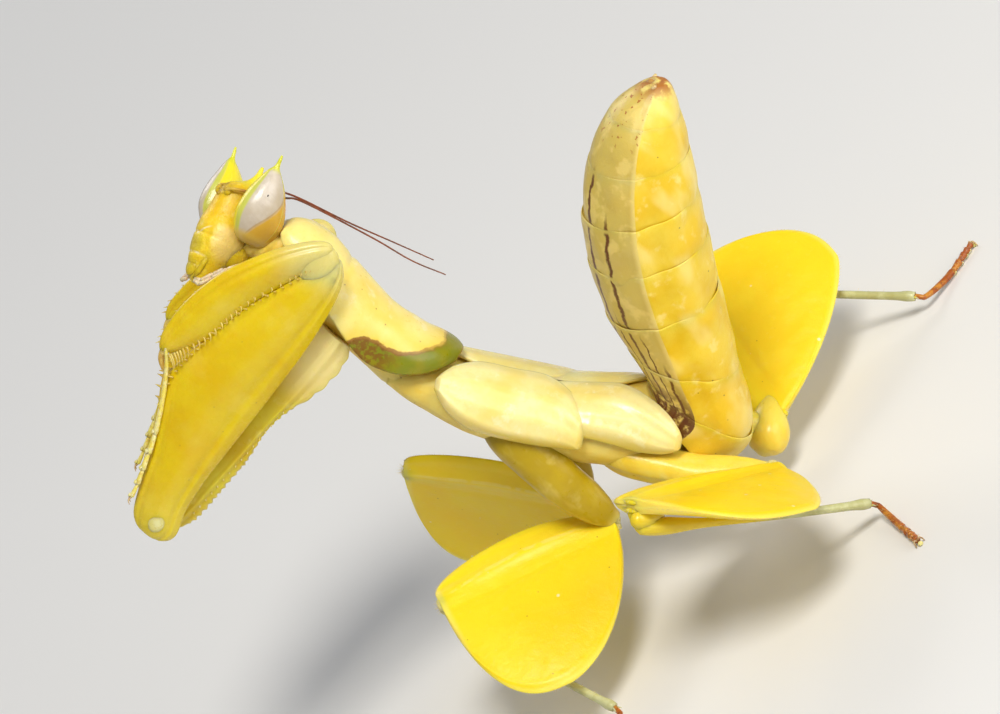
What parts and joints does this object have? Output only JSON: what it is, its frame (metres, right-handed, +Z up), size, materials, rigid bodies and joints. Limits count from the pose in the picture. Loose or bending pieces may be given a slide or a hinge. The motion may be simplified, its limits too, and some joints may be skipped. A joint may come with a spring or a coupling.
{
  "type": "orchid mantis model",
  "caption": "Life-size still model of an orchid mantis nymph, rearing on petal-like legs with folded forelegs and its abdomen raised.",
  "frame": {"origin": "on the floor, under the middle of the whole animal's bounding box", "axes": "+Z up from the floor the feet stand on; +X the way the thorax and the forelegs point, and the longest side; +Y the animal's left"},
  "size_m": [0.033, 0.024, 0.0267],
  "materials": {
    "petal_yellow": "satin, slightly translucent cuticle",
    "body_yellow": "satin cuticle",
    "abdomen_tip_brown": "satin cuticle",
    "shield_cream": "smooth, slightly glossy cuticle",
    "coxa_olive": "satin, translucent cuticle",
    "shank_pale": "satin, translucent cuticle",
    "tarsus_rust": "satin cuticle",
    "antenna_brown": "satin cuticle",
    "eye_pearl": "glossy, pearly"
  },
  "bodies": {
    "root": {"abdomen_segment_1": "body_yellow", "abdomen_segment_2": "body_yellow", "abdomen_segment_3": "body_yellow", "abdomen_segment_4": "body_yellow", "abdomen_segment_5": "body_yellow", "abdomen_segment_6": "body_yellow", "abdomen_segment_7": "body_yellow", "abdomen_segment_8": "abdomen_tip_brown", "antenna_left": "antenna_brown", "antenna_right": "antenna_brown", "eye_left": "eye_pearl", "eye_right": "eye_pearl", "fore_wing_pad_left": "shield_cream", "fore_wing_pad_right": "shield_cream", "foreleg_coxa_left": "body_yellow", "foreleg_coxa_right": "body_yellow", "foreleg_femur_left": "body_yellow", "foreleg_femur_right": "body_yellow", "foreleg_tarsus_left": "shank_pale", "foreleg_tarsus_right": "shank_pale", "foreleg_tibia_left": "body_yellow", "foreleg_tibia_right": "body_yellow", "head": "body_yellow", "hind_coxa_left": "coxa_olive", "hind_coxa_right": "coxa_olive", "hind_femur_left": "petal_yellow", "hind_femur_right": "petal_yellow", "hind_tarsus_left": "tarsus_rust", "hind_tarsus_right": "tarsus_rust", "hind_tibia_left": "shank_pale", "hind_tibia_right": "shank_pale", "hind_wing_pad_left": "shield_cream", "hind_wing_pad_right": "shield_cream", "mesothorax": "shield_cream", "metathorax": "body_yellow", "mid_coxa_left": "coxa_olive", "mid_coxa_right": "coxa_olive", "mid_femur_left": "petal_yellow", "mid_femur_right": "petal_yellow", "mid_tarsus_left": "tarsus_rust", "mid_tarsus_right": "tarsus_rust", "mid_tibia_left": "shank_pale", "mid_tibia_right": "shank_pale", "pronotum": "shield_cream", "prothorax": "body_yellow"}
  },
  "joints": []
}
